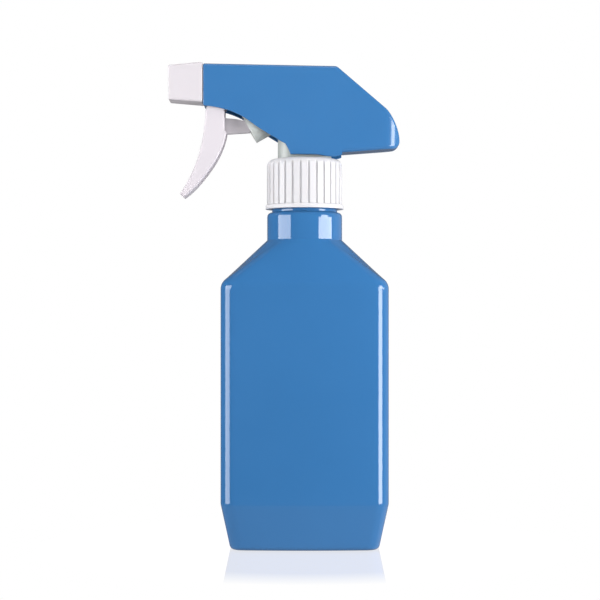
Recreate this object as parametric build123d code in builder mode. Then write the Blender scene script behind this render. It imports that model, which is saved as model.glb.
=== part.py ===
from build123d import *
import math
import os

# Trigger spray bottle. Millimetres, +Z up. The bottle's axis is Z, its foot stands on Z = 0,
# and the nozzle points along -X.

# ------------------------------------------------------------------ bottle
BOTTLE_WALL = 1.2
BODY_HALF_X = 36.8  # wide side of the body
BODY_HALF_Y = 22.0  # narrow side
BODY_CORNER = 7.2
BODY_CROWN_X = 0.7  # how far the end faces stand out at their middle
BODY_CROWN_Y = 1.8  # how far the front and back faces stand out
FOOT_HALF_X = 32.6
FOOT_HALF_Y = 18.2
FOOT_CORNER = 6.4
FOOT_EDGE = 2.2
TAPER_TOP = 20.0  # the foot widens to the full body here
TAPER_EDGE = 5.0
SHOULDER_BOTTOM = 115.9
SHOULDER_EDGE = 5.3
SHOULDER_TOP = 134.9
RIDGE_ANGLE = 55.0  # where the shoulder's four ridges meet the collar, from the X axis
RIDGE_HALF_ANGLE = 5.0
COLLAR_RADIUS = 16.5
COLLAR_TOP = 147.1
COLLAR_EDGE = 1.9
NECK_BEAD_RADIUS = 14.35
NECK_BEAD_ROOT = 146.1  # sunk into the collar
NECK_BEAD_TOP = 150.0
NECK_RADIUS = 12.55
NECK_BORE = 10.8
RIM_HEIGHT = 164.9
PUSH_UP = 1.6  # depth of the recess under the base
FOOT_RING = 4.5  # width of the ring that the bottle stands on
RECESS_CORNER = 5.4

# ------------------------------------------------------------------ 28 mm screw thread
THREAD_PITCH = 4.233
THREAD_TURNS = 1.5
THREAD_START = 156.2
BOTTLE_THREAD_TIP = 13.7
CAP_THREAD_TIP = 13.0
THREAD_ROOT_HALF = 1.1
THREAD_TIP_HALF = 0.5
THREAD_SINK = 0.3  # how far a ridge's root is sunk into its wall

# ------------------------------------------------------------------ closure cap
CAP_BOTTOM = 148.6
CAP_TOP = 170.6
CAP_RADIUS = 16.6
CAP_RIM_RADIUS = 17.2
CAP_RIM_HEIGHT = 1.9
CAP_RIM_STRAIGHT = 1.5
CAP_RIM_SLOPE = 0.7  # height over which the rim runs in to the ribs
CAP_TOP_EDGE = 3.2
CAP_BORE = 14.1
CAP_RELIEF = 14.9
CAP_RELIEF_TOP = 151.4
CAP_RELIEF_SLOPE = 0.8
CAP_CEILING = 168.7
CAP_HOLE = 12.2
CAP_RIBS = 30
CAP_GROOVE = 0.62

# ------------------------------------------------------------------ gasket, tube holder, dip tube
GASKET_TOP = 166.4
GASKET_RADIUS = 12.9
GASKET_BORE = 10.0
FLANGE_TOP = 168.4
FLANGE_RADIUS = 13.3
PLUG_RADIUS = 5.0
PLUG_TOP = 173.2
SOCKET_BOTTOM = 157.0
SOCKET_RADIUS = 4.4
TUBE_RADIUS = 3.0
TUBE_BORE = 2.0
TUBE_BOTTOM = 7.0
TUBE_TOP = 166.5
TUBE_CUT = 2.0  # how much higher the slanted foot of the tube is at one side
TUBE_STOP = 166.7
BALL_RADIUS = 2.0
BALL_SEAT = 169.5
BALL_SEAT_BORE = 1.5
BALL_CHAMBER = 2.4
VENT_X = -8.0
VENT_RADIUS = 0.6

# ------------------------------------------------------------------ pump body
STEM_LENGTH = 23.6
STEM_WIDTH = 13.0
STEM_TOP = 184.0
STEM_SOCKET_TOP = 173.4
PASSAGE_RADIUS = 1.5
SPRAY_HEIGHT = 203.9  # axis of the discharge tube and the nozzle
DISCHARGE_RADIUS = 4.6
DISCHARGE_BORE = 1.9
DISCHARGE_FRONT = -54.0
DISCHARGE_REAR = 5.4
NECKED_RADIUS = 4.4  # front end of the discharge tube, inside the nozzle
NECKED_REAR = -47.0
VALVE_SEAT = -42.5
VALVE_CHAMBER = 3.0
SNAP_BEAD = -48.5
SNAP_BEAD_RADIUS = 4.95
SNAP_BEAD_HALF = 0.6  # half its width at the root
SNAP_CREST_HALF = 0.1
SEAL_X = -51.5
SEAL_GROOVE = 3.9
SEAL_WIRE = 0.4
SEAL_SLACK = 0.01
PIVOT_X = -31.8
PIVOT_RADIUS = 2.2
PIVOT_HALF = 6.9
CYLINDER_X = -24.5  # centre of the pump cylinder's open front face
CYLINDER_Z = 184.1
CYLINDER_TILT = 29.0
CYLINDER_RADIUS = 7.0
CYLINDER_BORE = 6.1
CYLINDER_DEPTH = 22.0
CYLINDER_BACK = 2.0
CYLINDER_MOUTH = 6.6  # the bore opens a little at its front
CYLINDER_MOUTH_DEPTH = 0.8
FEED_PORT = 1.0  # radius of the hole between the cylinder and the riser
WEB_TOP = 201.9  # web between the cylinder and the discharge tube
WEB_BOTTOM = 192.9
WEB_TOP_FRONT = -20.0
WEB_BOTTOM_FRONT = -17.0
WEB_HALF = 0.9
VENT_TURN = 181.5  # height at which the vent turns forward into the cylinder
VENT_RISE = 33.7
VENT_OVERLAP = 0.36
VENT_LENGTH = 5.6
LUG_RADIUS = 1.6
FRONT_LUG_X = -16.0
LOW_LUG_HEIGHT = 179.0

BORE_PLUG_FRONT = 1.8
BORE_PLUG_HEAD = 3.4
BORE_PLUG_HEAD_LENGTH = 1.2
BORE_PLUG_EDGE = 0.4

# ------------------------------------------------------------------ piston, springs and valves
PISTON_FRONT = 1.25  # distances along the cylinder from its front face
PISTON_REAR = 14.5
PISTON_RADIUS = 5.8
PISTON_SPRING_SEAT = 10.4
PISTON_SPRING_BORE = 4.3
RING_GROOVE = 4.8  # radius at the bottom of the piston's two grooves
VENT_SEAL_AT = (8.7, 9.9)
PISTON_SEAL_AT = (12.6, 13.8)
RING_RADIUS = 6.05
RING_EDGE = 0.25
RETURN_SPRING_RADIUS = 3.6
RETURN_SPRING_WIRE = 0.35
RETURN_SPRING_PITCH = 2.05
RETURN_SPRING_GAP = 0.1  # between the spring and the faces it pushes on
OUTLET_SPRING_RADIUS = 2.1
OUTLET_SPRING_WIRE = 0.22
OUTLET_SPRING_PITCH = 1.15
VALVE_TIP = 0.9  # length of the cone inside the seat
VALVE_CONE = 1.6
VALVE_DISC = 2.6
VALVE_DISC_LENGTH = 1.6
VALVE_POST = 1.4
VALVE_POST_LENGTH = 1.8
SWIRL_REAR = -50.0
SWIRL_POST = 1.4
SWIRL_POST_LENGTH = 2.2
SWIRL_CHAMBER = 1.1
SWIRL_SLOT_OFFSET = 0.75  # how far each slot's line passes beside the spray axis
SWIRL_SLOT_MIDDLE = 1.6
SWIRL_SLOT_WIDTH = 0.6
SWIRL_SLOT_LENGTH = 3.0
SWIRL_SLOT_DEPTH = 0.5
SWIRL_FLUTE = 0.6
SWIRL_FLUTE_ANGLE = 104
FIT = 0.05  # radial clearance of a pressed or sliding fit

# ------------------------------------------------------------------ shroud
SHROUD_WALL = 1.2
SHROUD_HALF_Y = 8.5
SHROUD_FRONT_X = -44.4
SHROUD_TOP_EDGE = 1.6
SHROUD_REAR_CORNER = 8.0  # rounding of the rear end, seen from above
SHROUD_REAR_REACH = 0.9  # how far that rounding's end would stand behind the cover
SHROUD_LIP = 0.5  # rounding of the open lower edge
SHROUD_TOP_BEND = 2.5  # where the top meets the slope
SHROUD_LOW_CORNER = 3.5
SHROUD_FRONT_CORNER = 1.2  # at the front end of the open lower edge
HOLLOW_LOW_CORNER = 2.6
PLAN_BOTTOM = 160.0  # the plan outline is cut through the cover between these heights
PLAN_TOP = 220.0
PLAN_SPARE = 5.0  # how far the plan reaches in front of the cover
HOLLOW_BOTTOM = 165.0
SHROUD_TUBE_HOLE = 5.4
SHROUD_OPEN_REAR = 16.4  # the underside is open in front of this and closed behind it

# ------------------------------------------------------------------ nozzle
NOZZLE_REAR = -44.7
NOZZLE_FRONT = -59.7
NOZZLE_REAR_SIDE = 17.5
NOZZLE_FRONT_SIDE = 15.1
NOZZLE_HUB = 6.3
NOZZLE_BORE = 4.75
NOZZLE_FACE = -54.3  # inner face that the swirl insert sprays against
NOZZLE_GROOVE = 5.15
ORIFICE_RADIUS = 0.4
ORIFICE_LENGTH = 1.5
ORIFICE_MOUTH = 2.6
NOZZLE_SIDE_EDGE = 0.9
NOZZLE_FRONT_EDGE = 0.5
NOZZLE_REAR_EDGE = 0.5
NOZZLE_POCKET = 14.1  # side of the square hollow round the hub
NOZZLE_POCKET_EDGE = 1.0
NOZZLE_POCKET_DEPTH = 7.0
NOZZLE_LEAD_IN = 0.4
NOZZLE_GROOVE_HALF = 1.0
NOZZLE_GROOVE_FLOOR_HALF = 0.5

# ------------------------------------------------------------------ trigger
TRIGGER_HALF_Y = 6.7
TRIGGER_SIDE = 1.8
TRIGGER_WEB = 1.9
ARM_HALF_Y = 1.9
PIVOT_HOLE = 2.3
LEVER_BOTTOM = 153.0  # the lever's edges are rounded between these heights
LEVER_TOP = 193.5
LEVER_EDGE = 0.8

TILT = math.radians(CYLINDER_TILT)
CYLINDER_AXIS = (math.cos(TILT), 0, math.sin(TILT))
SPRAY_AXIS = Axis((0, 0, SPRAY_HEIGHT), (1, 0, 0))


def cylinder_plane(along):
    """Plane across the pump cylinder, a distance behind its front face, facing the rear."""
    origin = (
        CYLINDER_X + along * CYLINDER_AXIS[0],
        0,
        CYLINDER_Z + along * CYLINDER_AXIS[2],
    )
    return Plane(origin=origin, x_dir=(0, 1, 0), z_dir=CYLINDER_AXIS)


def spray_plane(x):
    """Plane across the discharge tube, facing the rear."""
    return Plane(origin=(x, 0, SPRAY_HEIGHT), x_dir=(0, 1, 0), z_dir=(1, 0, 0))


def body_section(half_x, half_y, corner):
    """Rounded rectangle with slightly convex sides."""
    corner_x = half_x - BODY_CROWN_X
    corner_y = half_y - BODY_CROWN_Y
    with BuildSketch(Plane.XY) as section:
        with BuildLine():
            ThreePointArc((corner_x, -corner_y), (half_x, 0), (corner_x, corner_y))
            ThreePointArc((corner_x, corner_y), (0, half_y), (-corner_x, corner_y))
            ThreePointArc((-corner_x, corner_y), (-half_x, 0), (-corner_x, -corner_y))
            ThreePointArc((-corner_x, -corner_y), (0, -half_y), (corner_x, -corner_y))
        make_face()
        fillet(section.vertices(), corner)
    return section.sketch


def collar_section(radius):
    """Circle in eight arcs, so that each meets one side or corner of the body's section."""
    bounds = []
    for middle in (RIDGE_ANGLE, 180 - RIDGE_ANGLE, 180 + RIDGE_ANGLE, 360 - RIDGE_ANGLE):
        bounds.append(middle - RIDGE_HALF_ANGLE)
        bounds.append(middle + RIDGE_HALF_ANGLE)
    with BuildSketch(Plane.XY) as section:
        with BuildLine():
            for number, start in enumerate(bounds):
                end = bounds[(number + 1) % len(bounds)]
                CenterArc((0, 0), radius, start, (end - start) % 360)
        make_face()
    return section.sketch


def thread_ridge(wall_radius, tip_radius, start_height):
    """Helical ridge from a cylindrical wall out, or in, to a tip radius."""
    outward = 1 if tip_radius > wall_radius else -1
    reach = tip_radius - wall_radius
    with BuildPart() as ridge:
        with BuildLine() as path:
            Helix(
                pitch=THREAD_PITCH,
                height=THREAD_PITCH * THREAD_TURNS,
                radius=wall_radius,
                center=(0, 0, start_height),
            )
        start = path.line @ 0
        with BuildSketch(Plane(origin=start, x_dir=(0, 0, 1), z_dir=path.line % 0)):
            with BuildLine():
                Polyline(
                    (-THREAD_ROOT_HALF, -outward * THREAD_SINK),
                    (-THREAD_TIP_HALF, reach),
                    (THREAD_TIP_HALF, reach),
                    (THREAD_ROOT_HALF, -outward * THREAD_SINK),
                    close=True,
                )
            make_face()
        sweep(path=path.line, is_frenet=True)
    return ridge.part


def coil_spring(plane, radius, wire, pitch, length):
    """Plain compression spring along a plane's normal."""
    with BuildPart() as spring:
        with BuildLine() as path:
            Helix(pitch=pitch, height=length, radius=radius)
        with BuildSketch(Plane(origin=path.line @ 0, z_dir=path.line % 0)):
            Circle(wire)
        sweep(path=path.line, is_frenet=True)
    return plane.location * spring.part


def save(piece, name):
    """Label a finished piece and write it as one STEP file."""
    piece.label = name
    export_step(piece, f"parts/{name}.step")


os.makedirs("parts", exist_ok=True)

# ================================================================== bottle
# The inner skin follows the outer one a wall's thickness inside. The skin turns by the shoulder's
# slope at the top of the body and back at the collar, and both corners drop by the same amount.
shoulder_run = BODY_HALF_X - COLLAR_RADIUS
shoulder_rise = SHOULDER_TOP - SHOULDER_BOTTOM
shoulder_turn = math.atan2(shoulder_run, shoulder_rise)
corner_drop = BOTTLE_WALL * math.tan(shoulder_turn / 2)
cavity_floor = PUSH_UP + BOTTLE_WALL

with BuildPart() as bottle:
    # body: foot taper, straight sides, sloped shoulder
    with BuildSketch(Plane.XY):
        add(body_section(FOOT_HALF_X, FOOT_HALF_Y, FOOT_CORNER))
    with BuildSketch(Plane.XY.offset(TAPER_TOP)):
        add(body_section(BODY_HALF_X, BODY_HALF_Y, BODY_CORNER))
    loft(ruled=True)
    with BuildSketch(Plane.XY.offset(TAPER_TOP)):
        add(body_section(BODY_HALF_X, BODY_HALF_Y, BODY_CORNER))
    extrude(amount=SHOULDER_BOTTOM - TAPER_TOP)
    with BuildSketch(Plane.XY.offset(SHOULDER_BOTTOM)):
        add(body_section(BODY_HALF_X, BODY_HALF_Y, BODY_CORNER))
    with BuildSketch(Plane.XY.offset(SHOULDER_TOP)):
        add(collar_section(COLLAR_RADIUS))
    loft(ruled=True)
    fillet(bottle.edges().filter_by_position(Axis.Z, SHOULDER_BOTTOM, SHOULDER_BOTTOM), SHOULDER_EDGE)
    fillet(bottle.edges().filter_by_position(Axis.Z, TAPER_TOP, TAPER_TOP), TAPER_EDGE)
    fillet(bottle.edges().filter_by_position(Axis.Z, 0, 0), FOOT_EDGE)
    # round collar, neck bead and neck
    with BuildSketch(Plane.XY.offset(SHOULDER_TOP)):
        Circle(COLLAR_RADIUS)
    extrude(amount=COLLAR_TOP - SHOULDER_TOP)
    fillet(bottle.edges().filter_by_position(Axis.Z, COLLAR_TOP, COLLAR_TOP), COLLAR_EDGE)
    with BuildSketch(Plane.XY.offset(NECK_BEAD_ROOT)):
        Circle(NECK_BEAD_RADIUS)
    extrude(amount=NECK_BEAD_TOP - NECK_BEAD_ROOT)
    with BuildSketch(Plane.XY.offset(COLLAR_TOP)):
        Circle(NECK_RADIUS)
    extrude(amount=RIM_HEIGHT - COLLAR_TOP)
    add(thread_ridge(NECK_RADIUS, BOTTLE_THREAD_TIP, THREAD_START))
    # cavity
    with BuildSketch(Plane.XY.offset(cavity_floor)):
        add(body_section(FOOT_HALF_X - BOTTLE_WALL, FOOT_HALF_Y - BOTTLE_WALL, FOOT_CORNER - BOTTLE_WALL))
    with BuildSketch(Plane.XY.offset(TAPER_TOP)):
        add(body_section(BODY_HALF_X - BOTTLE_WALL, BODY_HALF_Y - BOTTLE_WALL, BODY_CORNER - BOTTLE_WALL))
    loft(ruled=True, mode=Mode.SUBTRACT)
    with BuildSketch(Plane.XY.offset(TAPER_TOP)):
        add(body_section(BODY_HALF_X - BOTTLE_WALL, BODY_HALF_Y - BOTTLE_WALL, BODY_CORNER - BOTTLE_WALL))
    extrude(amount=SHOULDER_BOTTOM - corner_drop - TAPER_TOP, mode=Mode.SUBTRACT)
    with BuildSketch(Plane.XY.offset(SHOULDER_BOTTOM - corner_drop)):
        add(body_section(BODY_HALF_X - BOTTLE_WALL, BODY_HALF_Y - BOTTLE_WALL, BODY_CORNER - BOTTLE_WALL))
    with BuildSketch(Plane.XY.offset(SHOULDER_TOP - corner_drop)):
        add(collar_section(COLLAR_RADIUS - BOTTLE_WALL))
    loft(ruled=True, mode=Mode.SUBTRACT)
    with BuildSketch(Plane.XZ):
        with BuildLine():
            Polyline(
                (0, SHOULDER_TOP - corner_drop),
                (COLLAR_RADIUS - BOTTLE_WALL, SHOULDER_TOP - corner_drop),
                (COLLAR_RADIUS - BOTTLE_WALL, COLLAR_TOP - COLLAR_EDGE - BOTTLE_WALL),
                (NECK_BORE, COLLAR_TOP - BOTTLE_WALL),
                (NECK_BORE, RIM_HEIGHT),
                (0, RIM_HEIGHT),
                close=True,
            )
        make_face()
    revolve(axis=Axis.Z, mode=Mode.SUBTRACT)
    # recess under the base, inside the ring that the bottle stands on
    with BuildSketch(Plane.XY):
        add(body_section(FOOT_HALF_X - FOOT_RING, FOOT_HALF_Y - FOOT_RING, RECESS_CORNER))
    extrude(amount=PUSH_UP, taper=45, mode=Mode.SUBTRACT)
save(bottle.part, "bottle")

# ================================================================== neck gasket
with BuildPart() as neck_gasket:
    with BuildSketch(Plane.XY.offset(RIM_HEIGHT)):
        Circle(GASKET_RADIUS)
        Circle(GASKET_BORE, mode=Mode.SUBTRACT)
    extrude(amount=GASKET_TOP - RIM_HEIGHT)
save(neck_gasket.part, "neck_gasket")

# ================================================================== closure cap
slope_bottom = CAP_BOTTOM + CAP_RIM_STRAIGHT
rim_top = CAP_BOTTOM + CAP_RIM_HEIGHT

with BuildPart() as closure_cap:
    with BuildSketch(Plane.XZ):
        with BuildLine():
            Polyline(
                (CAP_RELIEF, CAP_BOTTOM),
                (CAP_RIM_RADIUS, CAP_BOTTOM),
                (CAP_RIM_RADIUS, slope_bottom),
                (CAP_RADIUS, slope_bottom + CAP_RIM_SLOPE),
                (CAP_RADIUS, CAP_TOP - CAP_TOP_EDGE),
            )
            RadiusArc(
                (CAP_RADIUS, CAP_TOP - CAP_TOP_EDGE),
                (CAP_RADIUS - CAP_TOP_EDGE, CAP_TOP),
                -CAP_TOP_EDGE,
            )
            Polyline(
                (CAP_RADIUS - CAP_TOP_EDGE, CAP_TOP),
                (CAP_HOLE, CAP_TOP),
                (CAP_HOLE, CAP_CEILING),
                (CAP_BORE, CAP_CEILING),
                (CAP_BORE, CAP_RELIEF_TOP),
                (CAP_RELIEF, CAP_RELIEF_TOP - CAP_RELIEF_SLOPE),
                (CAP_RELIEF, CAP_BOTTOM),
            )
        make_face()
    revolve(axis=Axis.Z)
    # grip grooves, which run out in the rounded top edge
    with BuildSketch(Plane.XY.offset(rim_top)):
        with PolarLocations(CAP_RADIUS, CAP_RIBS):
            Circle(CAP_GROOVE)
    extrude(amount=CAP_TOP - rim_top, mode=Mode.SUBTRACT)
    add(thread_ridge(CAP_BORE, CAP_THREAD_TIP, THREAD_START - THREAD_PITCH / 2))
save(closure_cap.part, "closure_cap")

# ================================================================== tube holder
with BuildPart() as tube_holder:
    with BuildSketch(Plane.XZ):
        with BuildLine():
            Polyline(
                (TUBE_RADIUS + FIT, SOCKET_BOTTOM),
                (SOCKET_RADIUS, SOCKET_BOTTOM),
                (SOCKET_RADIUS, GASKET_TOP),
                (FLANGE_RADIUS, GASKET_TOP),
                (FLANGE_RADIUS, FLANGE_TOP),
                (PLUG_RADIUS, FLANGE_TOP),
                (PLUG_RADIUS, PLUG_TOP),
                (BALL_CHAMBER, PLUG_TOP),
                (BALL_CHAMBER, BALL_SEAT),
                (BALL_SEAT_BORE, BALL_SEAT),
                (BALL_SEAT_BORE, TUBE_STOP),
                (TUBE_RADIUS + FIT, TUBE_STOP),
                close=True,
            )
        make_face()
    revolve(axis=Axis.Z)
    with Locations((VENT_X, 0, FLANGE_TOP)):
        Hole(VENT_RADIUS)
save(tube_holder.part, "tube_holder")

# ================================================================== dip tube
with BuildPart() as dip_tube:
    with BuildSketch(Plane.XY.offset(TUBE_BOTTOM)):
        Circle(TUBE_RADIUS)
        Circle(TUBE_BORE, mode=Mode.SUBTRACT)
    extrude(amount=TUBE_TOP - TUBE_BOTTOM)
    slant = math.atan2(TUBE_CUT, 2 * TUBE_RADIUS)
    cut_middle = TUBE_BOTTOM + TUBE_CUT / 2
    split(
        bisect_by=Plane(origin=(0, 0, cut_middle), z_dir=(math.sin(slant), 0, math.cos(slant))),
        keep=Keep.TOP,
    )
save(dip_tube.part, "dip_tube")

# ================================================================== inlet ball
ball_lift = math.sqrt(BALL_RADIUS**2 - BALL_SEAT_BORE**2) + FIT
with BuildPart(Plane.XY.offset(BALL_SEAT + ball_lift)) as inlet_ball:
    Sphere(BALL_RADIUS)
save(inlet_ball.part, "inlet_ball")

# ================================================================== pump body
riser_distance = -CYLINDER_X / CYLINDER_AXIS[0]
vent_angle = math.radians(VENT_RISE)
vent_direction = (-math.cos(vent_angle), 0, math.sin(vent_angle))
vent_branch = (VENT_X - VENT_OVERLAP * vent_direction[0], 0, VENT_TURN - VENT_OVERLAP * vent_direction[2])

with BuildPart() as pump_body:
    # stem and the riser above it
    with BuildSketch(Plane.XY.offset(FLANGE_TOP)):
        SlotOverall(STEM_LENGTH, STEM_WIDTH)
    extrude(amount=STEM_TOP - FLANGE_TOP)
    with BuildSketch(Plane.XY.offset(STEM_TOP)):
        Circle(DISCHARGE_RADIUS)
    extrude(amount=SPRAY_HEIGHT - STEM_TOP)
    # tilted pump cylinder
    with BuildSketch(cylinder_plane(0)):
        Circle(CYLINDER_RADIUS)
    extrude(amount=CYLINDER_DEPTH + CYLINDER_BACK)
    # discharge tube, with a snap bead and a seal groove at its necked front end
    with BuildSketch(Plane.XZ):
        with BuildLine():
            groove_half = SEAL_WIRE + FIT
            Polyline(
                (DISCHARGE_REAR, SPRAY_HEIGHT),
                (DISCHARGE_REAR, SPRAY_HEIGHT + DISCHARGE_RADIUS),
                (NECKED_REAR, SPRAY_HEIGHT + DISCHARGE_RADIUS),
                (NECKED_REAR, SPRAY_HEIGHT + NECKED_RADIUS),
                (SNAP_BEAD + SNAP_BEAD_HALF, SPRAY_HEIGHT + NECKED_RADIUS),
                (SNAP_BEAD + SNAP_CREST_HALF, SPRAY_HEIGHT + SNAP_BEAD_RADIUS),
                (SNAP_BEAD - SNAP_CREST_HALF, SPRAY_HEIGHT + SNAP_BEAD_RADIUS),
                (SNAP_BEAD - SNAP_BEAD_HALF, SPRAY_HEIGHT + NECKED_RADIUS),
                (SEAL_X + groove_half, SPRAY_HEIGHT + NECKED_RADIUS),
                (SEAL_X + groove_half, SPRAY_HEIGHT + SEAL_GROOVE),
                (SEAL_X - groove_half, SPRAY_HEIGHT + SEAL_GROOVE),
                (SEAL_X - groove_half, SPRAY_HEIGHT + NECKED_RADIUS),
                (DISCHARGE_FRONT, SPRAY_HEIGHT + NECKED_RADIUS),
                (DISCHARGE_FRONT, SPRAY_HEIGHT),
                close=True,
            )
        make_face()
    revolve(axis=SPRAY_AXIS)
    # web between the cylinder and the discharge tube
    with BuildSketch(Plane.XZ):
        with BuildLine():
            Polyline(
                (WEB_TOP_FRONT, WEB_TOP),
                (WEB_BOTTOM_FRONT, WEB_BOTTOM),
                (0, WEB_BOTTOM),
                (0, WEB_TOP),
                close=True,
            )
        make_face()
    extrude(amount=WEB_HALF, both=True)
    # trigger pivots, and lugs that hold the shroud
    with BuildSketch(Plane.XZ):
        with Locations((PIVOT_X, SPRAY_HEIGHT)):
            Circle(PIVOT_RADIUS)
    extrude(amount=PIVOT_HALF, both=True)
    with BuildSketch(Plane.XZ):
        with Locations((FRONT_LUG_X, SPRAY_HEIGHT), (0, SPRAY_HEIGHT), (0, LOW_LUG_HEIGHT)):
            Circle(LUG_RADIUS)
    extrude(amount=SHROUD_HALF_Y - SHROUD_WALL, both=True)
    # bores
    with BuildSketch(Plane.XY.offset(FLANGE_TOP)):
        Circle(PLUG_RADIUS + FIT)
    extrude(amount=STEM_SOCKET_TOP - FLANGE_TOP, mode=Mode.SUBTRACT)
    with BuildSketch(Plane.XY.offset(STEM_SOCKET_TOP)):
        Circle(PASSAGE_RADIUS)
    extrude(amount=SPRAY_HEIGHT - STEM_SOCKET_TOP, mode=Mode.SUBTRACT)
    with BuildSketch(spray_plane(VALVE_SEAT)):
        Circle(DISCHARGE_BORE)
    extrude(amount=DISCHARGE_REAR - VALVE_SEAT, mode=Mode.SUBTRACT)
    with BuildSketch(spray_plane(DISCHARGE_FRONT)):
        Circle(VALVE_CHAMBER)
    extrude(amount=VALVE_SEAT - DISCHARGE_FRONT, mode=Mode.SUBTRACT)
    with BuildSketch(cylinder_plane(0)):
        Circle(CYLINDER_MOUTH)
    with BuildSketch(cylinder_plane(CYLINDER_MOUTH_DEPTH)):
        Circle(CYLINDER_BORE)
    loft(ruled=True, mode=Mode.SUBTRACT)
    with BuildSketch(cylinder_plane(0)):
        Circle(CYLINDER_BORE)
    extrude(amount=CYLINDER_DEPTH, mode=Mode.SUBTRACT)
    with BuildSketch(cylinder_plane(CYLINDER_DEPTH)):
        Circle(FEED_PORT)
    extrude(amount=riser_distance - CYLINDER_DEPTH, mode=Mode.SUBTRACT)
    # vent: up the stem from the flange's hole, then across into the cylinder between its two seals
    with BuildSketch(Plane.XY.offset(FLANGE_TOP)):
        with Locations((VENT_X, 0)):
            Circle(VENT_RADIUS)
    extrude(amount=VENT_TURN - FLANGE_TOP, mode=Mode.SUBTRACT)
    with BuildSketch(Plane(origin=vent_branch, z_dir=vent_direction)):
        Circle(VENT_RADIUS)
    extrude(amount=VENT_LENGTH, mode=Mode.SUBTRACT)
save(pump_body.part, "pump_body")

# ================================================================== bore plug
with BuildPart() as bore_plug:
    with BuildSketch(spray_plane(BORE_PLUG_FRONT)):
        Circle(DISCHARGE_BORE - FIT)
    extrude(amount=DISCHARGE_REAR - BORE_PLUG_FRONT)
    with BuildSketch(spray_plane(DISCHARGE_REAR)):
        Circle(BORE_PLUG_HEAD)
    extrude(amount=BORE_PLUG_HEAD_LENGTH)
    fillet(bore_plug.faces().sort_by(Axis.X)[-1].edges(), BORE_PLUG_EDGE)
save(bore_plug.part, "bore_plug")

# ================================================================== piston and its rings
with BuildPart() as piston:
    with BuildSketch(cylinder_plane(PISTON_FRONT)):
        Circle(PISTON_RADIUS)
    extrude(amount=PISTON_REAR - PISTON_FRONT)
    with BuildSketch(cylinder_plane(PISTON_SPRING_SEAT)):
        Circle(PISTON_SPRING_BORE)
    extrude(amount=PISTON_REAR - PISTON_SPRING_SEAT, mode=Mode.SUBTRACT)
    for start, end in (VENT_SEAL_AT, PISTON_SEAL_AT):
        with BuildSketch(cylinder_plane(start)):
            Circle(CYLINDER_BORE)
            Circle(RING_GROOVE, mode=Mode.SUBTRACT)
        extrude(amount=end - start, mode=Mode.SUBTRACT)
save(piston.part, "piston")


def piston_ring(span):
    """Seal ring that sits in one of the piston's grooves."""
    start = span[0] + FIT
    end = span[1] - FIT
    with BuildPart() as ring:
        with BuildSketch(cylinder_plane(start)):
            Circle(RING_RADIUS)
            Circle(RING_GROOVE + FIT, mode=Mode.SUBTRACT)
        extrude(amount=end - start)
        chamfer(ring.edges().filter_by(GeomType.CIRCLE).sort_by(SortBy.RADIUS)[-2:], RING_EDGE)
    return ring.part


save(piston_ring(VENT_SEAL_AT), "vent_seal")
save(piston_ring(PISTON_SEAL_AT), "piston_seal")

# ================================================================== return spring
return_spring = coil_spring(
    cylinder_plane(PISTON_SPRING_SEAT + RETURN_SPRING_WIRE + RETURN_SPRING_GAP),
    RETURN_SPRING_RADIUS,
    RETURN_SPRING_WIRE,
    RETURN_SPRING_PITCH,
    CYLINDER_DEPTH - PISTON_SPRING_SEAT - 2 * (RETURN_SPRING_WIRE + RETURN_SPRING_GAP),
)
save(return_spring, "return_spring")

# ================================================================== outlet valve, spring and swirl insert
valve_shoulder = VALVE_SEAT - VALVE_DISC_LENGTH
valve_end = valve_shoulder - VALVE_POST_LENGTH
with BuildPart() as outlet_valve:
    with BuildSketch(Plane.XZ):
        with BuildLine():
            Polyline(
                (VALVE_SEAT + VALVE_TIP, SPRAY_HEIGHT),
                (VALVE_SEAT - FIT, SPRAY_HEIGHT + VALVE_CONE),
                (VALVE_SEAT - FIT, SPRAY_HEIGHT + VALVE_DISC),
                (valve_shoulder, SPRAY_HEIGHT + VALVE_DISC),
                (valve_shoulder, SPRAY_HEIGHT + VALVE_POST),
                (valve_end, SPRAY_HEIGHT + VALVE_POST),
                (valve_end, SPRAY_HEIGHT),
                close=True,
            )
        make_face()
    revolve(axis=SPRAY_AXIS)
save(outlet_valve.part, "outlet_valve")

spring_space = valve_shoulder - SWIRL_REAR
outlet_spring = coil_spring(
    spray_plane(SWIRL_REAR + OUTLET_SPRING_WIRE + FIT),
    OUTLET_SPRING_RADIUS,
    OUTLET_SPRING_WIRE,
    OUTLET_SPRING_PITCH,
    spring_space - 2 * OUTLET_SPRING_WIRE - 2 * FIT,
)
save(outlet_spring, "outlet_spring")

with BuildPart() as swirl_insert:
    with BuildSketch(spray_plane(DISCHARGE_FRONT)):
        Circle(VALVE_CHAMBER - FIT)
    extrude(amount=SWIRL_REAR - DISCHARGE_FRONT)
    with BuildSketch(spray_plane(SWIRL_REAR)):
        Circle(SWIRL_POST)
    extrude(amount=SWIRL_POST_LENGTH)
    # swirl chamber in the front face, with three slots that reach it off-centre
    with BuildSketch(spray_plane(DISCHARGE_FRONT)):
        Circle(SWIRL_CHAMBER)
        for turn in (0, 120, 240):
            side = math.radians(turn)
            middle = (
                SWIRL_SLOT_OFFSET * math.cos(side) - SWIRL_SLOT_MIDDLE * math.sin(side),
                SWIRL_SLOT_OFFSET * math.sin(side) + SWIRL_SLOT_MIDDLE * math.cos(side),
            )
            with Locations(Location(middle, turn)):
                Rectangle(SWIRL_SLOT_WIDTH, SWIRL_SLOT_LENGTH)
    extrude(amount=SWIRL_SLOT_DEPTH, mode=Mode.SUBTRACT)
    # side flutes that bring the liquid past the insert
    with BuildSketch(spray_plane(DISCHARGE_FRONT)):
        with PolarLocations(VALVE_CHAMBER, 3, start_angle=SWIRL_FLUTE_ANGLE):
            Circle(SWIRL_FLUTE)
    extrude(amount=SWIRL_REAR - DISCHARGE_FRONT, mode=Mode.SUBTRACT)
save(swirl_insert.part, "swirl_insert")

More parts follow.
